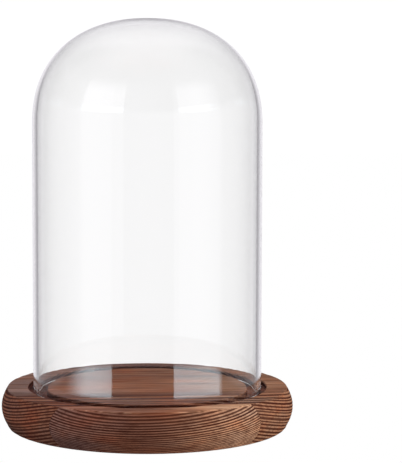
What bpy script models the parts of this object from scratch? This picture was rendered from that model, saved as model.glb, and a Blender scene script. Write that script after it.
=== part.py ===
"""Bell jar dome: a clear glass bell jar that stands in a groove of a turned wooden base.

The base is one round blank, edge-glued from three boards, with a groove for the glass and a
plateau level with the rim for the thing on show. Four thin rubber feet lift it off the table.
Metres, +Z up, -Y is the front. The origin is under the centre of the base, on the table.
"""

import math

import bmesh
import bpy
from mathutils import Matrix, Vector

# Driving dimensions
GLASS_RADIUS = 0.0598            # outside of the straight wall
GLASS_WALL = 0.0026
CROWN_HEIGHT = 0.0553            # from the end of the straight wall to the apex, outside
CROWN_EXPONENT = 2.267           # 2 would be an ellipse; more is squarer at the shoulder
CROWN_WALL = 0.0011              # blown glass is thinner at the apex than at the straight wall
INNER_CROWN_EXPONENT = 2.33
STRAIGHT_TOP_ABOVE_WOOD = 0.1358  # where the crown starts, above the top of the wood

BOARD_THICKNESS = 0.0200
RIM_RADIUS = 0.0734              # at the top and bottom edges of the rim
RIM_BULGE = 0.0029               # how far the rim swells out at half height
TOP_EDGE_ROUND = 0.0006
BOTTOM_EDGE_ROUND = 0.0014
GROOVE_INNER_RADIUS = 0.0522
GROOVE_OUTER_RADIUS = 0.0626
GROOVE_DEPTH = 0.0031

SEAM_OFFSET = 0.0563             # glue lines, from the centre of the base
SEAM_TURN = math.radians(4.1)    # the boards' length against +X

FOOT_RADIUS = 0.0075
FOOT_THICKNESS = 0.0015
FOOT_EDGE_ROUND = 0.0003
FOOT_CIRCLE_RADIUS = 0.0540
FOOT_COUNT = 4

GAP = 0.0003                     # between pieces that touch or are glued
MERGE = 0.00005
ROUND_STEPS = 72
FOOT_STEPS = 32

# Heights that follow from them
WOOD_BOTTOM = FOOT_THICKNESS + GAP
WOOD_TOP = WOOD_BOTTOM + BOARD_THICKNESS
GROOVE_FLOOR = WOOD_TOP - GROOVE_DEPTH
GLASS_FOOT = GROOVE_FLOOR + GAP
CROWN_START = WOOD_TOP + STRAIGHT_TOP_ABOVE_WOOD


def clear_scene():
    for scene_object in list(bpy.data.objects):
        bpy.data.objects.remove(scene_object)


def new_collection(name):
    collection = bpy.data.collections.new(name)
    bpy.context.scene.collection.children.link(collection)
    return collection


def new_material(name, colour, roughness, transmission=0.0):
    material = bpy.data.materials.new(name)
    material.use_nodes = True
    shader = material.node_tree.nodes["Principled BSDF"]
    shader.inputs["Base Color"].default_value = (*colour, 1.0)
    shader.inputs["Roughness"].default_value = roughness
    shader.inputs["Metallic"].default_value = 0.0
    shader.inputs["Transmission Weight"].default_value = transmission
    return material


def arc(centre_r, centre_z, radius, start, end, steps):
    """Profile points on a circle, from one angle to another, in degrees."""
    points = []
    for step in range(steps + 1):
        angle = math.radians(start + (end - start) * step / steps)
        points.append((centre_r + radius * math.cos(angle), centre_z + radius * math.sin(angle)))
    return points


def crown(radius, height, exponent, steps):
    """The crown's profile as a superellipse, from the apex down to the straight wall."""
    power = 2.0 / exponent
    points = []
    for step in range(steps + 1):
        angle = math.radians(90.0) * (1.0 - step / steps)
        r = radius * max(math.cos(angle), 0.0) ** power
        z = CROWN_START + height * max(math.sin(angle), 0.0) ** power
        points.append((0.0 if step == 0 else r, z))
    return points


def dome_profile():
    """Outer side from the apex down, round the foot, and up the inner side to the axis."""
    crown_steps = 14
    foot_steps = 4
    foot_radius = GLASS_WALL / 2.0
    outer = crown(GLASS_RADIUS, CROWN_HEIGHT, CROWN_EXPONENT, crown_steps)
    foot = arc(GLASS_RADIUS - foot_radius, GLASS_FOOT + foot_radius, foot_radius, 0, -180, foot_steps)
    inner_radius = GLASS_RADIUS - GLASS_WALL
    inner_height = CROWN_HEIGHT - CROWN_WALL
    inner = crown(inner_radius, inner_height, INNER_CROWN_EXPONENT, crown_steps)
    return outer + foot + inner[::-1]


def rim_profile(steps):
    """The swelling side of the rim, from below its top edge to above its bottom edge."""
    top = WOOD_TOP - TOP_EDGE_ROUND
    bottom = WOOD_BOTTOM + BOTTOM_EDGE_ROUND
    points = []
    for step in range(1, steps):
        share = step / steps
        swell = 1.0 - (2.0 * share - 1.0) ** 2
        points.append((RIM_RADIUS + RIM_BULGE * swell, top + (bottom - top) * share))
    return points


def base_profile():
    """From the axis out over the plateau, through the groove, down the rim and back below."""
    plateau = [(0.0, WOOD_TOP), (GROOVE_INNER_RADIUS, WOOD_TOP)]
    groove = [(GROOVE_INNER_RADIUS, GROOVE_FLOOR), (GROOVE_OUTER_RADIUS, GROOVE_FLOOR)]
    groove_lip = [(GROOVE_OUTER_RADIUS, WOOD_TOP)]
    top_edge = arc(RIM_RADIUS - TOP_EDGE_ROUND, WOOD_TOP - TOP_EDGE_ROUND, TOP_EDGE_ROUND, 90, 0, 2)
    bottom_edge = arc(
        RIM_RADIUS - BOTTOM_EDGE_ROUND, WOOD_BOTTOM + BOTTOM_EDGE_ROUND, BOTTOM_EDGE_ROUND, 0, -90, 3
    )
    return plateau + groove + groove_lip + top_edge + rim_profile(8) + bottom_edge + [(0.0, WOOD_BOTTOM)]


def rubber_foot_profile():
    """A flat rubber disc with softly rounded edges."""
    inset = FOOT_RADIUS - FOOT_EDGE_ROUND
    top_edge = arc(inset, FOOT_THICKNESS - FOOT_EDGE_ROUND, FOOT_EDGE_ROUND, 90, 0, 2)
    bottom_edge = arc(inset, FOOT_EDGE_ROUND, FOOT_EDGE_ROUND, 0, -90, 2)
    return [(0.0, FOOT_THICKNESS)] + top_edge + bottom_edge + [(0.0, 0.0)]


def turned_mesh_object(name, profile, steps, material, collection):
    """An open profile in the XZ plane, with a Screw modifier that turns it about +Z."""
    mesh = bpy.data.meshes.new(name)
    vertices = [(r, 0.0, z) for r, z in profile]
    edges = [(i, i + 1) for i in range(len(profile) - 1)]
    mesh.from_pydata(vertices, edges, [])
    mesh.materials.append(material)
    turned = bpy.data.objects.new(name, mesh)
    collection.objects.link(turned)
    screw = turned.modifiers.new("Turn", "SCREW")
    screw.axis = "Z"
    screw.angle = math.radians(360.0)
    screw.steps = steps
    screw.render_steps = steps
    screw.use_merge_vertices = True
    screw.merge_threshold = MERGE
    screw.use_smooth_shade = True
    return turned


def board_cutter(name, low, high, collection):
    """A box that keeps one board's width of the blank, across the boards' length."""
    length = 0.4
    height = 0.1
    mesh = bpy.data.meshes.new(name)
    shape = bmesh.new()
    bmesh.ops.create_cube(shape, size=1.0)
    bmesh.ops.transform(shape, matrix=Matrix.Diagonal((length, high - low, height, 1.0)), verts=shape.verts)
    shape.to_mesh(mesh)
    shape.free()
    cutter = bpy.data.objects.new(name, mesh)
    cutter.location = Matrix.Rotation(SEAM_TURN, 3, "Z") @ Vector((0.0, (low + high) / 2.0, 0.0))
    cutter.rotation_euler = (0.0, 0.0, SEAM_TURN)
    cutter.hide_render = True
    cutter.display_type = "WIRE"
    collection.objects.link(cutter)
    return cutter


def base_board(name, low, high, material, collection, cutters):
    """One board of the turned blank: the whole turned shape, kept between two glue lines."""
    board = turned_mesh_object(name, base_profile(), ROUND_STEPS, material, collection)
    keep = board.modifiers.new("Glue lines", "BOOLEAN")
    keep.operation = "INTERSECT"
    keep.solver = "EXACT"
    keep.object = board_cutter(name + "_width", low, high, cutters)
    return board


def base_boards(material, collection, cutters):
    inner = SEAM_OFFSET - GAP / 2.0
    outer = SEAM_OFFSET + GAP / 2.0
    past_rim = 0.1
    base_board("base_board_middle", -inner, inner, material, collection, cutters)
    base_board("base_board_front", -past_rim, -outer, material, collection, cutters)
    base_board("base_board_back", outer, past_rim, material, collection, cutters)


def rubber_feet(material, collection):
    for index in range(FOOT_COUNT):
        angle = math.radians(45.0 + 360.0 * index / FOOT_COUNT)
        name = "rubber_foot_" + str(index + 1)
        foot = turned_mesh_object(name, rubber_foot_profile(), FOOT_STEPS, material, collection)
        foot.location = (FOOT_CIRCLE_RADIUS * math.cos(angle), FOOT_CIRCLE_RADIUS * math.sin(angle), 0.0)


def main():
    clear_scene()
    parts = new_collection("bell_jar_dome")
    cutters = new_collection("cutters")

    glass = new_material("clear_glass", (0.98, 0.99, 1.0), 0.02, transmission=1.0)
    wood = new_material("carbonised_pine", (0.16, 0.065, 0.035), 0.55)
    rubber = new_material("black_rubber", (0.020, 0.020, 0.021), 0.75)

    turned_mesh_object("glass_dome", dome_profile(), ROUND_STEPS, glass, parts)
    base_boards(wood, parts, cutters)
    rubber_feet(rubber, parts)


main()
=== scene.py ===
"""The looks of the bell jar dome: clear blown glass on a carbonised, brushed softwood base.

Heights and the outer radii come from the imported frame; the other sizes repeat the design's own.
Metres, +Z up, -Y is the front.
"""

import math

import bmesh
import bpy
import numpy as np
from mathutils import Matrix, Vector


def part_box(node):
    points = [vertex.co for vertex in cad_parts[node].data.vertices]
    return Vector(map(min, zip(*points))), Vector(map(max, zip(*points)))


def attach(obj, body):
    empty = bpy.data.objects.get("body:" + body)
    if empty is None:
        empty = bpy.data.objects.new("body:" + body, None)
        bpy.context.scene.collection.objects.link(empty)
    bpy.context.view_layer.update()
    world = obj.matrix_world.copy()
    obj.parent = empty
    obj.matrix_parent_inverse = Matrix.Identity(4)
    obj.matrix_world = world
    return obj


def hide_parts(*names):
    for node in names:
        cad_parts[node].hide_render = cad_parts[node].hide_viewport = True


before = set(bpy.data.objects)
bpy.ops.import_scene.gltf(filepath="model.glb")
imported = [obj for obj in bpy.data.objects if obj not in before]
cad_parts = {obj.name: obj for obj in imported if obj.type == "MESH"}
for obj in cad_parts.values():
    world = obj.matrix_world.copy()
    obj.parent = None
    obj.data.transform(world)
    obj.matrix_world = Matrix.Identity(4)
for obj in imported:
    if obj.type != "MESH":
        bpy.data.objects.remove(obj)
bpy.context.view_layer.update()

# Heights and outer sizes, from the frame
glass_low, glass_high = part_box("glass_dome")
wood_low, wood_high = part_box("base_board_middle")
GLASS_FOOT = glass_low.z
GLASS_APEX = glass_high.z
GLASS_RADIUS = glass_high.x
WOOD_BOTTOM = wood_low.z
WOOD_TOP = wood_high.z
BOARD_THICKNESS = WOOD_TOP - WOOD_BOTTOM
WIDEST_RADIUS = wood_high.x

# The design's other sizes
GLASS_WALL = 0.0026
CROWN_HEIGHT = 0.0553
CROWN_EXPONENT = 2.267
CROWN_WALL = 0.0011
INNER_CROWN_EXPONENT = 2.33
RIM_RADIUS = 0.0734
TOP_EDGE_ROUND = 0.0006
BOTTOM_EDGE_ROUND = 0.0014
GROOVE_INNER_RADIUS = 0.0522
GROOVE_OUTER_RADIUS = 0.0626
GROOVE_DEPTH = 0.0031
GROOVE_EDGE_ROUND = 0.0004
SEAM_OFFSET = 0.0563
SEAM_TURN = math.radians(4.1)
SEAM_GAP = 0.00006
FOOT_TOP_ROUND = 0.0002
FOOT_BOTTOM_ROUND = 0.0004

CROWN_START = GLASS_APEX - CROWN_HEIGHT
GROOVE_FLOOR = WOOD_TOP - GROOVE_DEPTH

# How finely the meshes are cut: steps round the axis or along a curve, and spacing on flat stretches
GLASS_STEPS = 256
BLANK_STEPS = 384
FOOT_STEPS = 64
CROWN_STEPS = 72
RIM_STEPS = 92
GLASS_SPACING = 0.006
PLATEAU_SPACING = 0.0006
GROOVE_FLOOR_SPACING = 0.0009
OUTER_RING_SPACING = 0.0005
UNDERSIDE_SPACING = 0.0020
FOOT_SPACING = 0.001

# Brushing: how far the late wood stands above the early wood, and where the turned surface lies
# between them, as a share
RING_RELIEF = 0.00010
TURNED_LEVEL = 0.8

# Where the dark late wood of a ring starts, is full and starts to end, as shares of the ring
LATE_WOOD_START = 0.29
LATE_WOOD_FULL = 0.54
LATE_WOOD_END = 0.90

# Wood colours: the early wood at the left, middle and right of each board, and the late wood.
# Each board is lighter to the right: partly the wood's own tone, partly painted light where the key
# light falls. The front board's greyer left is a painted sheen.
MIDDLE_EARLY_WOOD_AND_LIGHT = ((0.255, 0.104, 0.058), (0.295, 0.115, 0.057), (0.360, 0.178, 0.096))
FRONT_EARLY_WOOD_LIGHT_AND_SHEEN = ((0.250, 0.120, 0.086), (0.208, 0.080, 0.044), (0.560, 0.302, 0.172))
BACK_EARLY_WOOD_AND_LIGHT = ((0.170, 0.072, 0.044), (0.170, 0.070, 0.041), (0.220, 0.098, 0.058))
LATE_WOOD = (0.040, 0.0060, 0.0015)
LATE_WOOD_RIGHT = (0.048, 0.0070, 0.0008)
PALE_WOOD = (1.0, 0.62, 0.42)

# Tints, which multiply the wood's colour in places
WARM_BLOTCH = (1.14, 0.90, 0.76)
COOL_BLOTCH = (0.90, 1.02, 1.16)
# Painted shade: the lower part of each board's left side darker and cooler, away from the key light
LOW_LEFT_SHADE = (0.54, 0.60, 0.68)
# Painted shade in the groove's recess, and more at its left and right ends where the side light is
# blocked
GROOVE_SHADE = (0.74, 0.72, 0.82)
GROOVE_END_SHADE = (0.60, 0.54, 0.60)
FAR_LEFT_SIDE_TINT = (1.02, 0.90, 0.86)
# Painted sheen: a bluish-grey reflection on the far left of the top
FAR_LEFT_TOP_SHEEN = (1.02, 1.36, 1.75)


# ---------------------------------------------------------------- outlines of turned pieces

def arc(centre_r, centre_z, radius, start, end, steps):
    """Profile points on a circle, from one angle to another, in degrees."""
    points = []
    for step in range(steps + 1):
        angle = math.radians(start + (end - start) * step / steps)
        points.append((centre_r + radius * math.cos(angle), centre_z + radius * math.sin(angle)))
    return points


def line(start, end, spacing):
    """Profile points along a straight line, without its two ends."""
    length = math.dist(start, end)
    count = max(1, round(length / spacing))
    points = []
    for step in range(1, count):
        share = step / count
        points.append((start[0] + (end[0] - start[0]) * share, start[1] + (end[1] - start[1]) * share))
    return points


def crown(radius, height, exponent):
    """The crown's profile as a superellipse, from the apex down to the straight wall."""
    power = 2.0 / exponent
    points = []
    for step in range(CROWN_STEPS + 1):
        angle = math.radians(90.0) * (1.0 - step / CROWN_STEPS)
        r = radius * max(math.cos(angle), 0.0) ** power
        z = CROWN_START + height * max(math.sin(angle), 0.0) ** power
        points.append((0.0 if step == 0 else r, z))
    return points


def glass_profile():
    """Outer side from the apex down, round the fire-polished foot, and up the inner side."""
    foot = GLASS_WALL / 2.0
    outer = crown(GLASS_RADIUS, CROWN_HEIGHT, CROWN_EXPONENT)
    inner = crown(GLASS_RADIUS - GLASS_WALL, CROWN_HEIGHT - CROWN_WALL, INNER_CROWN_EXPONENT)[::-1]
    rim = arc(GLASS_RADIUS - foot, GLASS_FOOT + foot, foot, 0, -180, 12)
    down = line(outer[-1], rim[0], GLASS_SPACING)
    up = line(rim[-1], inner[0], GLASS_SPACING)
    return outer + down + rim + up + inner


def rim_side():
    """The swelling side of the wooden rim, from its top edge to its bottom edge."""
    top = WOOD_TOP - TOP_EDGE_ROUND
    bottom = WOOD_BOTTOM + BOTTOM_EDGE_ROUND
    bulge = WIDEST_RADIUS - RIM_RADIUS
    points = []
    for step in range(1, RIM_STEPS):
        share = step / RIM_STEPS
        swell = 1.0 - (2.0 * share - 1.0) ** 2
        points.append((RIM_RADIUS + bulge * swell, top + (bottom - top) * share))
    return points


def blank_profile():
    """The wooden blank from its axis: plateau, groove, outer ring, rim and underside."""
    edge = GROOVE_EDGE_ROUND
    inner_lip = arc(GROOVE_INNER_RADIUS - edge, WOOD_TOP - edge, edge, 90, 0, 4)
    outer_lip = arc(GROOVE_OUTER_RADIUS + edge, WOOD_TOP - edge, edge, 180, 90, 4)
    floor_in = (GROOVE_INNER_RADIUS, GROOVE_FLOOR)
    floor_out = (GROOVE_OUTER_RADIUS, GROOVE_FLOOR)
    top_edge = arc(RIM_RADIUS - TOP_EDGE_ROUND, WOOD_TOP - TOP_EDGE_ROUND, TOP_EDGE_ROUND, 90, 0, 5)
    bottom_edge = arc(
        RIM_RADIUS - BOTTOM_EDGE_ROUND, WOOD_BOTTOM + BOTTOM_EDGE_ROUND, BOTTOM_EDGE_ROUND, 0, -90, 8
    )
    points = [(0.0, WOOD_TOP)]
    points += line(points[-1], inner_lip[0], PLATEAU_SPACING) + inner_lip
    points += line(points[-1], floor_in, PLATEAU_SPACING) + [floor_in]
    points += line(points[-1], floor_out, GROOVE_FLOOR_SPACING) + [floor_out]
    points += line(points[-1], outer_lip[0], PLATEAU_SPACING) + outer_lip
    points += line(points[-1], top_edge[0], OUTER_RING_SPACING) + top_edge
    points += rim_side() + bottom_edge
    points += line(points[-1], (0.0, WOOD_BOTTOM), UNDERSIDE_SPACING) + [(0.0, WOOD_BOTTOM)]
    return points


def foot_profile(radius):
    """A rubber disc that reaches from the surface below it to the wood that it is stuck to."""
    top = arc(radius - FOOT_TOP_ROUND, WOOD_BOTTOM - FOOT_TOP_ROUND, FOOT_TOP_ROUND, 90, 0, 3)
    bottom = arc(radius - FOOT_BOTTOM_ROUND, FOOT_BOTTOM_ROUND, FOOT_BOTTOM_ROUND, 0, -90, 6)
    points = [(0.0, WOOD_BOTTOM)]
    points += line(points[-1], top[0], FOOT_SPACING) + top + bottom
    points += line(points[-1], (0.0, 0.0), FOOT_SPACING) + [(0.0, 0.0)]
    return points


# ---------------------------------------------------------------- meshes and pieces

def turned_mesh(profile, steps):
    """A bmesh of the profile turned about +Z; a profile point on the axis becomes one vertex."""
    shape = bmesh.new()
    columns = []
    poles = {}
    for column in range(steps):
        angle = 2.0 * math.pi * column / steps
        cosine = math.cos(angle)
        sine = math.sin(angle)
        vertices = []
        for index, (r, z) in enumerate(profile):
            if r > 0.0:
                vertices.append(shape.verts.new((r * cosine, r * sine, z)))
            else:
                if index not in poles:
                    poles[index] = shape.verts.new((0.0, 0.0, z))
                vertices.append(poles[index])
        columns.append(vertices)
    for column in range(steps):
        here = columns[column]
        there = columns[(column + 1) % steps]
        for row in range(len(profile) - 1):
            corners = [here[row], here[row + 1], there[row + 1], there[row]]
            shape.faces.new(list(dict.fromkeys(corners)))
    bmesh.ops.recalc_face_normals(shape, faces=shape.faces)
    return shape


def new_piece(name, shape, material, body, replaced):
    """Makes a piece of a bmesh, rides it on its body and hides the part of the frame that it replaces.
    """
    mesh = bpy.data.meshes.new(name)
    shape.to_mesh(mesh)
    shape.free()
    mesh.shade_smooth()
    mesh.materials.append(material)
    piece = bpy.data.objects.new(name, mesh)
    bpy.context.scene.collection.objects.link(piece)
    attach(piece, body)
    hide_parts(replaced)
    return piece


# ---------------------------------------------------------------- growth rings of the boards

def wave_noise(points, sizes, seed):
    """Smooth noise of about -1 to 1: sine waves in seeded directions, stretched by sizes."""
    count = 14
    draw = np.random.default_rng(seed)
    directions = draw.normal(size=(count, 3))
    phases = draw.uniform(0.0, 2.0 * math.pi, count)
    waves = np.sin((points / np.array(sizes)) @ directions.T + phases)
    return waves.sum(axis=1) / math.sqrt(count * 2.0)


def along_boards(points):
    """Points in the boards' own directions: along the grain, across it, and above the underside."""
    cosine = math.cos(SEAM_TURN)
    sine = math.sin(SEAM_TURN)
    along = points[:, 0] * cosine + points[:, 1] * sine
    across = points[:, 1] * cosine - points[:, 0] * sine
    return np.stack([along, across, points[:, 2] - WOOD_BOTTOM], axis=1)


def ring_distance(grain, across, height, across_lean=0.0, height_lean=0.0):
    """Distance from the tree's middle, which may drift across and upward along the board."""
    middle_across = across + across_lean * grain[:, 0]
    middle_height = height + height_lean * grain[:, 0]
    return np.hypot(grain[:, 1] - middle_across, grain[:, 2] - middle_height)


def closing_rings(depth, top_spacing, closing):
    """Ring number below the first ring, where the rings get closer with depth."""
    reach = top_spacing / closing
    return np.log(reach / np.maximum(reach - depth, 0.2 * reach)) / closing


def natural_rings(rings, grain, shift, years, waves, wave_width, seed):
    """Ring numbers made uneven by good and bad years, and wavy along each ring, in rings."""
    growth = np.stack([rings, rings * 0.0, rings * 0.0], axis=1)
    growth = years * wave_noise(growth, (0.55, 1.0, 1.0), seed + 1)
    return rings + shift + growth + waves * wave_noise(grain, (0.03, wave_width, wave_width), seed)


def middle_rings(grain):
    """Flat-sawn board below the tree's middle: a broad plain band, then even rings below it.

    The rings bend down a little towards both ends of the board.
    """
    height = 0.165
    depth = ring_distance(grain, -0.001, height) - (height - BOARD_THICKNESS)
    depth = depth + 0.0013 * (grain[:, 0] / WIDEST_RADIUS) ** 2
    depth = depth + 0.00022 * wave_noise(grain, (0.030, 0.030, 0.030), 21)
    plain = 0.0022
    onset = 0.0007
    spacing = 0.00155
    rings = np.logaddexp(0.0, (depth - plain) / onset) * onset / spacing
    return natural_rings(rings, grain, 0.10, 0.16, 0.05, 0.010, 22)


def front_rings(grain):
    """The tree's middle is above and in front of this board, and rises to the right."""
    first_ring = 0.1207
    distance = ring_distance(grain, -0.0942, 0.1395, -0.0115, 0.0258)
    distance = distance + 0.00022 * wave_noise(grain, (0.032, 0.020, 0.020), 31)
    rings = closing_rings(distance - first_ring, 0.00140, 0.025)
    return natural_rings(rings, grain, 0.18, 0.14, 0.07, 0.006, 32)


def back_rings(grain):
    """The tree's middle is above and behind this board."""
    first_ring = 0.1310
    distance = ring_distance(grain, 0.0900, 0.1500, 0.010, -0.012)
    distance = distance + 0.00025 * wave_noise(grain, (0.05, 0.020, 0.020), 41)
    rings = closing_rings(distance - first_ring, 0.00160, 0.020)
    return natural_rings(rings, grain, 0.0, 0.14, 0.08, 0.006, 42)


def late_ridge(rings):
    """Height, 0 to 1, of the hard dark late wood that stands proud after brushing."""
    share = rings - np.floor(rings)
    rise = np.clip((share - LATE_WOOD_START) / (LATE_WOOD_FULL - LATE_WOOD_START), 0.0, 1.0)
    fall = np.clip((1.0 - share) / (1.0 - LATE_WOOD_END), 0.0, 1.0)
    return rise * rise * (3.0 - 2.0 * rise) * fall


def carve_board(shape, low, high):
    """Keeps the blank between two glue lines and closes the cut faces."""
    across = Vector((-math.sin(SEAM_TURN), math.cos(SEAM_TURN), 0.0))
    for offset, outward in ((low, -1.0), (high, 1.0)):
        if abs(offset) > WIDEST_RADIUS:
            continue
        everything = shape.verts[:] + shape.edges[:] + shape.faces[:]
        cut = bmesh.ops.bisect_plane(
            shape, geom=everything, dist=1e-7, plane_co=across * offset,
            plane_no=across * outward, clear_outer=True,
        )
        edges = [item for item in cut["geom_cut"] if isinstance(item, bmesh.types.BMEdge)]
        bmesh.ops.contextual_create(shape, geom=edges)


def brush_board(mesh, rings_of):
    """Gives the board's mesh its growth rings, as an attribute and as relief above the underside."""
    points = np.empty(len(mesh.vertices) * 3)
    normals = np.empty(len(mesh.vertices) * 3)
    mesh.vertices.foreach_get("co", points)
    mesh.vertices.foreach_get("normal", normals)
    points = points.reshape(-1, 3)
    normals = normals.reshape(-1, 3)
    rings = rings_of(along_boards(points))
    unbrushed_height = 0.0005
    brushed = np.clip((points[:, 2] - WOOD_BOTTOM) / unbrushed_height, 0.0, 1.0)
    lift = (late_ridge(rings) - TURNED_LEVEL) * RING_RELIEF * brushed
    points += normals * lift[:, None]
    mesh.vertices.foreach_set("co", points.ravel())
    ring_attribute = mesh.attributes.new("rings", "FLOAT", "POINT")
    ring_attribute.data.foreach_set("value", rings.astype(np.float32))
    mesh.update()


def wooden_board(side, low, high, rings_of, material):
    """One board of the turned blank, between two glue lines, with its rings and relief."""
    shape = turned_mesh(blank_profile(), BLANK_STEPS)
    carve_board(shape, low, high)
    name = "wood_board_" + side
    board = new_piece(name, shape, material, "base", "base_board_" + side)
    brush_board(board.data, rings_of)


# ---------------------------------------------------------------- nodes

def new_material(name):
    material = bpy.data.materials.new(name)
    material.use_nodes = True
    material.node_tree.nodes.clear()
    return material


class Nodes:
    """Short calls for making and joining the nodes of one tree. Colours are red, green and blue."""

    def __init__(self, tree):
        self.tree = tree

    def add(self, kind, **settings):
        node = self.tree.nodes.new(kind)
        for key, value in settings.items():
            setattr(node, key, value)
        return node

    def plug(self, socket, value):
        """Joins an output to the socket, or sets the socket to a number or a colour."""
        if isinstance(value, bpy.types.NodeSocket):
            self.tree.links.new(value, socket)
        elif socket.type == "RGBA":
            socket.default_value = (*value, 1.0)
        else:
            socket.default_value = value

    def math(self, operation, first, second=0.0, third=0.0):
        node = self.add("ShaderNodeMath", operation=operation)
        for socket, value in zip(node.inputs, (first, second, third)):
            self.plug(socket, value)
        return node.outputs[0]

    def product(self, *factors):
        result = factors[0]
        for factor in factors[1:]:
            result = self.math("MULTIPLY", result, factor)
        return result

    def mix(self, share, first, second, blend_type="MIX"):
        """A colour between two colours."""
        node = self.add("ShaderNodeMix", data_type="RGBA", blend_type=blend_type)
        self.plug(node.inputs[0], share)
        self.plug(node.inputs[6], first)
        self.plug(node.inputs[7], second)
        return node.outputs[2]

    def tint(self, share, colour, tint):
        """Multiplies a colour by a tint, by the given share."""
        return self.mix(share, colour, tint, "MULTIPLY")

    def mix_numbers(self, share, first, second):
        node = self.add("ShaderNodeMix", data_type="FLOAT")
        self.plug(node.inputs[0], share)
        self.plug(node.inputs[2], first)
        self.plug(node.inputs[3], second)
        return node.outputs[0]

    def ramp(self, value, start, end, to_start=0.0, to_end=1.0, smooth=False):
        """A number that runs from one level to another while the value runs from start to end."""
        node = self.add("ShaderNodeMapRange")
        node.interpolation_type = "SMOOTHSTEP" if smooth else "LINEAR"
        for socket, number in zip(node.inputs, (value, start, end, to_start, to_end)):
            self.plug(socket, number)
        return node.outputs[0]

    def fade(self, value, start, end, to_start=0.0, to_end=1.0):
        """A ramp that starts and ends gently."""
        return self.ramp(value, start, end, to_start, to_end, smooth=True)

    def noise(self, vector, scale, detail=2.0, roughness=0.5):
        node = self.add("ShaderNodeTexNoise")
        self.plug(node.inputs["Vector"], vector)
        node.inputs["Scale"].default_value = scale
        node.inputs["Detail"].default_value = detail
        node.inputs["Roughness"].default_value = roughness
        return node.outputs["Fac"]

    def grain_space(self, sizes):
        """Object coordinates turned along the boards, in units of the given sizes."""
        coordinates = self.add("ShaderNodeTexCoord")
        mapping = self.add("ShaderNodeMapping", vector_type="TEXTURE")
        self.plug(mapping.inputs["Vector"], coordinates.outputs["Object"])
        mapping.inputs["Rotation"].default_value = (0.0, 0.0, SEAM_TURN)
        mapping.inputs["Scale"].default_value = sizes
        return mapping.outputs[0]

    def grain_noise(self, sizes, detail=2.0, roughness=0.5):
        """Noise whose grains have the given sizes along and across the boards, and in height."""
        return self.noise(self.grain_space(sizes), 1.0, detail, roughness)

    def bump(self, height, strength, distance):
        """A surface direction that follows the height, for a shader's Normal."""
        node = self.add("ShaderNodeBump")
        node.inputs["Strength"].default_value = strength
        node.inputs["Distance"].default_value = distance
        self.plug(node.inputs["Height"], height)
        return node.outputs[0]


# ---------------------------------------------------------------- materials

def late_wood_share(n, fibres, worn, seed_shift):
    """How much of the dark late wood is seen; each ring has its own depth of colour."""
    rings = n.add("ShaderNodeAttribute", attribute_name="rings").outputs["Fac"]
    wavy = n.math("ADD", rings, n.ramp(fibres, 0.3, 0.7, -0.05, 0.05))
    share = n.math("FRACT", wavy)
    number = n.math("FLOOR", wavy)
    whim = n.add("ShaderNodeTexWhiteNoise", noise_dimensions="1D")
    n.plug(whim.inputs["W"], n.math("ADD", number, seed_shift))
    rise = n.fade(share, LATE_WOOD_START, LATE_WOOD_FULL)
    fall = n.fade(share, LATE_WOOD_END, 1.0, 1.0, 0.0)
    depth = n.ramp(whim.outputs["Value"], 0.0, 1.0, 0.86, 1.0)
    return n.product(rise, fall, depth, worn)


def fibrous(n, light, dark, fibres, top):
    """Early wood with dark streaks and fibres, and on the top dark and pale pores as well."""
    pale = n.mix(0.5, light, PALE_WOOD)
    streaks = n.grain_noise((0.060, 0.0018, 0.0018))
    pores = n.grain_noise((0.045, 0.0011, 0.0011), 1.0)
    light = n.mix(n.ramp(streaks, 0.44, 0.70, 0.0, 0.50), light, dark)
    light = n.mix(n.ramp(fibres, 0.50, 0.80, 0.0, 0.40), light, dark)
    light = n.mix(n.product(top, n.ramp(pores, 0.54, 0.61, 0.0, 0.60)), light, dark)
    return n.mix(n.product(top, n.ramp(pores, 0.42, 0.34, 0.0, 0.30)), light, pale)


def blotched(n, colour):
    """Warmer and cooler blotches, a few centimetres long."""
    blotches = n.grain_noise((0.026, 0.014, 0.007))
    colour = n.tint(n.ramp(blotches, 0.50, 0.68, 0.0, 0.8), colour, WARM_BLOTCH)
    return n.tint(n.ramp(blotches, 0.50, 0.32, 0.0, 0.8), colour, COOL_BLOTCH)


def painted_groove_shade(n, colour, along, across, height):
    """Painted shade in the groove, darkest at its left and right ends, where the side light is blocked.
    """
    past_lip = GROOVE_OUTER_RADIUS + 0.0010
    under_floor = GROOVE_FLOOR - 0.0005
    radius_squared = n.math("MULTIPLY_ADD", across, across, n.math("MULTIPLY", along, along))
    within = n.math("LESS_THAN", radius_squared, past_lip ** 2)
    above_floor = n.math("GREATER_THAN", height, under_floor)
    below_top = n.ramp(height, WOOD_TOP - 0.0003, WOOD_TOP - 0.0012)
    sunk = n.product(below_top, within, above_floor)
    shaded_ends = n.fade(n.math("ABSOLUTE", along), 0.042, 0.056)
    colour = n.tint(sunk, colour, GROOVE_SHADE)
    return n.tint(n.product(sunk, shaded_ends), colour, GROOVE_END_SHADE)


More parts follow.
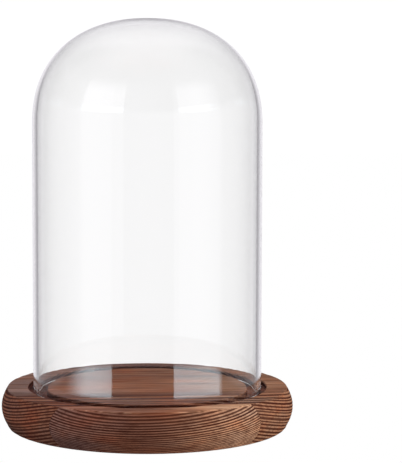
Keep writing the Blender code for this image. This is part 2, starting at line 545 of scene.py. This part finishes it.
def wood_material(side, early, top_lines, top_painted_light, seed_shift):
    """Brushed, carbonised softwood: dark late-wood lines on brown early wood, with fine fibres.

    early is the early wood's colour at the left, middle and right of the board; its lighter right is
    partly the wood's own tone and partly painted light from the key light on the right. On the top,
    where brushing has worn them, top_lines is how much of the late-wood lines is left at the back and
    at the front. top_painted_light multiplies the colour of the top: painted light that makes the top
    lighter, as lit from above. seed_shift gives each board other lines.
    the front, and top_painted_light multiplies the colour. seed_shift gives each board other lines.
    """
    material = new_material("carbonised_pine_" + side)
    n = Nodes(material.node_tree)
    output = n.add("ShaderNodeOutputMaterial")
    shader = n.add("ShaderNodeBsdfPrincipled")
    n.plug(output.inputs["Surface"], shader.outputs[0])

    place = n.add("ShaderNodeSeparateXYZ")
    n.plug(place.inputs[0], n.grain_space((1.0, 1.0, 1.0)))
    along, across, height = place.outputs
    patches = n.grain_noise((0.050, 0.022, 0.022))
    wander = 0.030
    patchy_along = n.math("MULTIPLY_ADD", patches, wander, n.math("ADD", along, -wander / 2.0))
    right = n.fade(patchy_along, -0.002, 0.048)
    left = n.fade(patchy_along, -0.008, -0.048)
    far_left = n.fade(patchy_along, -0.052, -0.064)
    top = n.ramp(height, WOOD_TOP - 0.0008, WOOD_TOP - 0.0003)
    low = n.fade(height, WOOD_BOTTOM + 0.0095, WOOD_BOTTOM + 0.0030)

    fibres = n.grain_noise((0.020, 0.00035, 0.00035), 3.0, 0.6)
    front = n.fade(across, -0.018, -0.036)
    worn = n.mix_numbers(top, 1.0, n.mix_numbers(front, top_lines[0], top_lines[1]))
    lateness = late_wood_share(n, fibres, worn, seed_shift)

    # Painted light: the early wood grows lighter to the right, where the key light falls, on top of the
    # wood's own tone
    light = n.mix(left, n.mix(right, early[1], early[2]), early[0])
    dark = n.mix(right, LATE_WOOD, LATE_WOOD_RIGHT)
    light = fibrous(n, light, dark, fibres, top)
    # Painted shade: darker and cooler low on the left
    light = n.tint(n.product(low, left), light, LOW_LEFT_SHADE)
    colour = n.mix(lateness, light, dark)
    # Painted light: the top made lighter, as lit from above
    colour = n.tint(top, colour, top_painted_light)
    colour = blotched(n, colour)
    # Painted shade in the groove
    colour = painted_groove_shade(n, colour, along, across, height)
    # Far left: the sides a little redder, and on the top a painted bluish-grey sheen
    colour = n.tint(far_left, colour, n.mix(top, FAR_LEFT_SIDE_TINT, FAR_LEFT_TOP_SHEEN))
    n.plug(shader.inputs["Base Color"], colour)
    n.plug(shader.inputs["Roughness"], n.ramp(lateness, 0.0, 1.0, 0.72, 0.58))
    shader.inputs["Specular IOR Level"].default_value = 0.06

    relief = n.math("ADD", n.product(lateness, 0.7), n.product(fibres, 0.5))
    n.plug(shader.inputs["Normal"], n.bump(relief, 0.6, 0.00025))
    return material


def glass_material():
    """Clear glass; lamps and diffuse light pass it straight, so what stands inside is lit."""
    material = new_material("clear_blown_glass")
    n = Nodes(material.node_tree)
    output = n.add("ShaderNodeOutputMaterial")
    shader = n.add("ShaderNodeBsdfPrincipled")
    n.plug(shader.inputs["Base Color"], (1.0, 1.0, 1.0))
    shader.inputs["Roughness"].default_value = 0.0
    shader.inputs["IOR"].default_value = 1.47
    shader.inputs["Transmission Weight"].default_value = 1.0
    clear = n.add("ShaderNodeBsdfTransparent")
    n.plug(clear.inputs["Color"], (0.92, 0.92, 0.92))
    path = n.add("ShaderNodeLightPath")
    passing = n.math("MAXIMUM", path.outputs["Is Shadow Ray"], path.outputs["Is Diffuse Ray"])
    mixed = n.add("ShaderNodeMixShader")
    n.plug(mixed.inputs[0], passing)
    n.plug(mixed.inputs[1], shader.outputs[0])
    n.plug(mixed.inputs[2], clear.outputs[0])
    n.plug(output.inputs["Surface"], mixed.outputs[0])
    return material


def rubber_material():
    """Matt black rubber with a faint grain."""
    material = new_material("matt_black_rubber")
    n = Nodes(material.node_tree)
    output = n.add("ShaderNodeOutputMaterial")
    shader = n.add("ShaderNodeBsdfPrincipled")
    n.plug(output.inputs["Surface"], shader.outputs[0])
    coordinates = n.add("ShaderNodeTexCoord").outputs["Object"]
    grain = n.noise(coordinates, 2600.0, 3.0)
    blotches = n.noise(coordinates, 220.0)
    n.plug(shader.inputs["Base Color"], n.mix(blotches, (0.016, 0.016, 0.017), (0.034, 0.033, 0.033)))
    n.plug(shader.inputs["Roughness"], n.ramp(grain, 0.3, 0.7, 0.62, 0.82))
    n.plug(shader.inputs["Normal"], n.bump(grain, 0.35, 0.0001))
    return material


# ---------------------------------------------------------------- pieces

def make_glass():
    shape = turned_mesh(glass_profile(), GLASS_STEPS)
    new_piece("bell_jar_glass", shape, glass_material(), "dome", "glass_dome")


def make_boards():
    """Three boards of one blank, with a thin glue line between each two."""
    low = SEAM_OFFSET - SEAM_GAP / 2.0
    high = SEAM_OFFSET + SEAM_GAP / 2.0
    past_rim = 2.0 * WIDEST_RADIUS
    middle_wood = wood_material("middle", MIDDLE_EARLY_WOOD_AND_LIGHT, (0.42, 0.95), (1.02, 1.02, 1.02), 11.0)
    # The front board's top factor is painted light, and its greyer left colour a painted sheen
    front_wood = wood_material("front", FRONT_EARLY_WOOD_LIGHT_AND_SHEEN, (0.15, 0.15), (1.28, 1.30, 1.24), 37.0)
    back_wood = wood_material("back", BACK_EARLY_WOOD_AND_LIGHT, (0.60, 0.60), (1.0, 1.0, 1.0), 53.0)
    wooden_board("middle", -low, low, middle_rings, middle_wood)
    wooden_board("front", -past_rim, -high, front_rings, front_wood)
    wooden_board("back", high, past_rim, back_rings, back_wood)


def make_feet():
    """Self-adhesive rubber discs, where the frame has them."""
    material = rubber_material()
    for node in sorted(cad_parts):
        if node.startswith("rubber_foot_"):
            low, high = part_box(node)
            shape = turned_mesh(foot_profile((high.x - low.x) / 2.0), FOOT_STEPS)
            centre = (low + high) / 2.0
            bmesh.ops.translate(shape, vec=(centre.x, centre.y, 0.0), verts=shape.verts)
            new_piece("stuck_" + node, shape, material, "base", node)


# ---------------------------------------------------------------- studio

def make_floor():
    """A plain floor, as white as the background, so the two meet without an edge.

    Light that has been mirrored in the glass passes it, and finds the studio's own darker parts. From
    below it cannot be seen.
    """
    mesh = bpy.data.meshes.new("studio_floor")
    shape = bmesh.new()
    bmesh.ops.create_circle(shape, cap_ends=True, radius=40.0, segments=96)
    bmesh.ops.translate(shape, vec=(0.0, 0.0, -0.0001), verts=shape.verts)
    shape.to_mesh(mesh)
    shape.free()
    material = new_material("pale_floor")
    n = Nodes(material.node_tree)
    output = n.add("ShaderNodeOutputMaterial")
    glow = n.add("ShaderNodeEmission")
    path = n.add("ShaderNodeLightPath")
    mirrored = n.math("GREATER_THAN", path.outputs["Glossy Depth"], 0.5)
    below = n.add("ShaderNodeNewGeometry").outputs["Backfacing"]
    mixed = n.add("ShaderNodeMixShader")
    n.plug(mixed.inputs[0], n.math("MAXIMUM", mirrored, below))
    n.plug(mixed.inputs[1], glow.outputs[0])
    n.plug(mixed.inputs[2], n.add("ShaderNodeBsdfTransparent").outputs[0])
    n.plug(output.inputs["Surface"], mixed.outputs[0])
    material.cycles.emission_sampling = "NONE"
    mesh.materials.append(material)
    floor = bpy.data.objects.new("studio_floor", mesh)
    bpy.context.scene.collection.objects.link(floor)


# Directions in the studio: turn is the bearing in degrees, 0 at the front and positive to the right,
# away is its size, and x, y and z are the direction's parts, with z from -1 below to 1 above.

def panel(n, turn, z, low, high, low_blur, high_blur):
    """A tall soft panel of light between two bearings, with soft or crisp edges."""
    start = n.fade(turn, low, low + low_blur)
    end = n.fade(turn, high, high - high_blur)
    top = n.fade(z, 0.56, 0.42)
    bottom = n.fade(z, -0.72, -0.45)
    return n.product(start, end, top, bottom)


def studio_walls(n, turn, away, z):
    """The front is grey, darker to the right, the sides are dark, and the pale backdrop dims upward."""
    side_grey = 0.36
    strength = n.fade(turn, -25.0, 25.0, 0.60, 0.37)
    strength = n.mix_numbers(n.fade(away, 70.0, 132.0), strength, side_grey)
    backdrop = n.fade(z, 0.15, 0.35, 0.93, 0.60)
    return n.mix_numbers(n.ramp(away, 146.5, 160.0), strength, backdrop)


def studio_ceiling(n, x, y):
    """Bright overhead, and darker towards the front and the sides."""
    front_grey = 0.30
    side_grey = 0.42
    strength = n.fade(y, -0.60, -0.10, front_grey, 0.80)
    return n.mix_numbers(n.fade(n.math("ABSOLUTE", x), 0.25, 0.70), strength, side_grey)


def studio_seen_in_glass(n, turn, x, y, z):
    """Brightness of what the glass mirrors, and where the two panels are brightest, as a share.

    Below the level of the table's edge, which sinks towards the sides, the studio is nearly black,
    except for the backdrop and the panels, which are brightest just there.
    """
    floor_grey = 0.60
    under_table = 0.05
    panels_above = 0.35
    panels_below = 1.1
    left_at_edge = 5.0
    right_at_edge = 3.4
    away = n.math("ABSOLUTE", turn)
    strength = studio_walls(n, turn, away, z)
    strength = n.mix_numbers(n.fade(z, 0.45, 0.65), strength, studio_ceiling(n, x, y))
    strength = n.mix_numbers(n.fade(z, -0.30, -0.45), strength, floor_grey)

    sinking = n.fade(away, 60.0, 110.0, 0.0, 0.014)
    below_edge = n.fade(n.math("ADD", z, sinking), -0.163, -0.170)
    low = n.product(below_edge, n.fade(away, 150.0, 128.0))
    strength = n.mix_numbers(low, strength, under_table)

    brightest = n.product(low, n.fade(z, -0.215, -0.200))
    elsewhere = n.mix_numbers(low, panels_above, panels_below)
    left = panel(n, turn, z, -92.0, -35.0, 38.0, 0.8)
    left = n.product(left, n.ramp(turn, -68.0, -36.0, 1.0, 0.66))
    left = n.product(left, n.mix_numbers(brightest, elsewhere, left_at_edge))
    right = panel(n, turn, z, 26.0, 81.0, 0.8, 6.0)
    right = n.product(right, n.mix_numbers(brightest, elsewhere, right_at_edge))
    return n.math("ADD", strength, n.math("ADD", left, right)), brightest


def soft_lobe(n, x, y, z, towards):
    """A round patch of light that fades away from the given direction."""
    tightness = 8.0
    along = n.math("MULTIPLY", x, towards[0])
    along = n.math("MULTIPLY_ADD", y, towards[1], along)
    along = n.math("MULTIPLY_ADD", z, towards[2], along)
    return n.math("POWER", n.math("MAXIMUM", along, 0.0), tightness)


def soft_light(n, x, y, z):
    """What lights the matt surfaces: a room bright above, a key light right and a fill light left."""
    everywhere = 0.02
    overhead = 1.02
    key = 4.2
    fill = 1.6
    strength = n.math("MULTIPLY_ADD", n.math("MAXIMUM", z, 0.0), overhead, everywhere)
    right = soft_lobe(n, x, y, z, (0.930, -0.250, 0.270))
    left = soft_lobe(n, x, y, z, (-0.930, -0.250, 0.270))
    strength = n.math("MULTIPLY_ADD", right, key, strength)
    return n.math("MULTIPLY_ADD", left, fill, strength)


def make_world():
    """White to look at, the studio in the glass, and a soft light on everything that is matt."""
    white = (1.0, 1.0, 1.0)
    faint_lilac = (1.0, 0.975, 1.025)
    cool_left = (0.80, 1.0, 1.28)
    cool_panels = (0.85, 1.0, 1.09)
    beyond_white = 0.03
    world = bpy.data.worlds.new("studio")
    bpy.context.scene.world = world
    world.use_nodes = True
    world.node_tree.nodes.clear()
    n = Nodes(world.node_tree)
    direction = n.add("ShaderNodeSeparateXYZ")
    n.plug(direction.inputs[0], n.add("ShaderNodeTexCoord").outputs["Generated"])
    x, y, z = direction.outputs
    turn = n.math("DEGREES", n.math("ARCTAN2", x, n.math("MULTIPLY", y, -1.0)))

    path = n.add("ShaderNodeLightPath")
    camera_ray = path.outputs["Is Camera Ray"]
    glass_ray = path.outputs["Is Singular Ray"]
    unmirrored = n.math("LESS_THAN", path.outputs["Glossy Depth"], 0.5)
    straight = n.product(path.outputs["Is Transmission Ray"], unmirrored)
    looked_at = n.math("MAXIMUM", camera_ray, straight)

    studio, brightest = studio_seen_in_glass(n, turn, x, y, z)
    strength = n.mix_numbers(glass_ray, soft_light(n, x, y, z), studio)
    backdrop = n.math("MULTIPLY_ADD", camera_ray, beyond_white, 1.0)
    strength = n.mix_numbers(looked_at, strength, backdrop)
    colour = n.mix(n.ramp(x, -0.30, -0.95), faint_lilac, cool_left)
    colour = n.mix(glass_ray, colour, faint_lilac)
    colour = n.mix(n.product(brightest, glass_ray), colour, cool_panels)
    colour = n.mix(looked_at, colour, white)
    background = n.add("ShaderNodeBackground")
    n.plug(background.inputs["Color"], colour)
    n.plug(background.inputs["Strength"], strength)
    output = n.add("ShaderNodeOutputWorld")
    n.plug(output.inputs["Surface"], background.outputs[0])


def make_camera():
    """Aimed at about half the object's height, from a little above; the object stands left of centre."""
    aim_height = 0.100 + WOOD_BOTTOM
    distance = 0.6823
    rise = math.radians(3.76)
    data = bpy.data.cameras.new("camera")
    data.sensor_width = 36.0
    data.lens = 101.4
    data.shift_x = 0.1161
    data.shift_y = 0.0035
    data.dof.use_dof = False
    data.clip_start = 0.01
    data.clip_end = 100.0
    camera = bpy.data.objects.new("camera", data)
    camera.location = (0.0, -distance * math.cos(rise), aim_height + distance * math.sin(rise))
    camera.rotation_euler = (math.radians(90.0) - rise, 0.0, 0.0)
    bpy.context.scene.collection.objects.link(camera)
    bpy.context.scene.camera = camera


make_camera()
make_glass()
make_boards()
make_feet()
make_floor()
make_world()
bpy.context.scene.view_settings.view_transform = "Standard"
